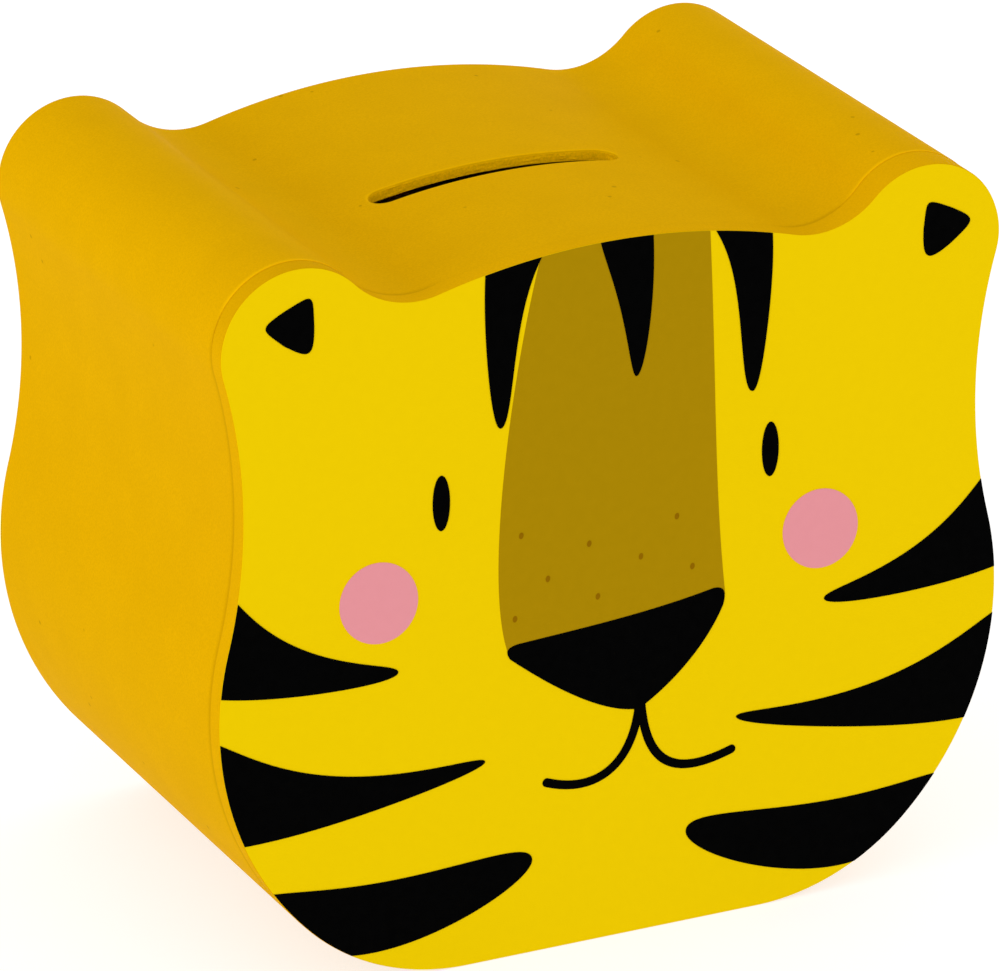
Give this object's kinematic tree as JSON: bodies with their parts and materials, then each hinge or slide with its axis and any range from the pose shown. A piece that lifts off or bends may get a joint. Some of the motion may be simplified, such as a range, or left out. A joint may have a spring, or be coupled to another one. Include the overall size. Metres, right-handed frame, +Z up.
{
  "type": "wooden money box",
  "caption": "Standing money box in the outline of a tiger's head: thin bent wooden wall, printed front, coin slot in the top and a pull-out stopper in the back.",
  "frame": {"origin": "middle of the footprint at the level of the flat chin that the box stands on", "axes": "+X across the face to the viewer's right, +Y from the face to the back, +Z up"},
  "size_m": [0.12, 0.0772, 0.1075],
  "materials": {
    "amber_paint": "satin sprayed paint with a very fine orange-peel texture, on thin wood fibre board",
    "printed_sheet": "matte printed sheet, lemon yellow with black, brown and pink artwork",
    "raw_fibreboard": "raw sawn fibreboard",
    "soft_stopper": "matte black moulded soft stopper"
  },
  "bodies": {
    "box": {"bent_wall": "amber_paint", "front_board": "amber_paint", "face_print": "printed_sheet", "front_former": "raw_fibreboard", "back_former": "raw_fibreboard", "back_board": "amber_paint", "joint_strip": "raw_fibreboard"},
    "stopper": {"stopper": "soft_stopper"}
  },
  "joints": [
    {"name": "stopper_pull", "type": "slide", "parent": "box", "child": "stopper", "axis": [0, 1, 0], "range_m": [0, 0.03]}
  ]
}
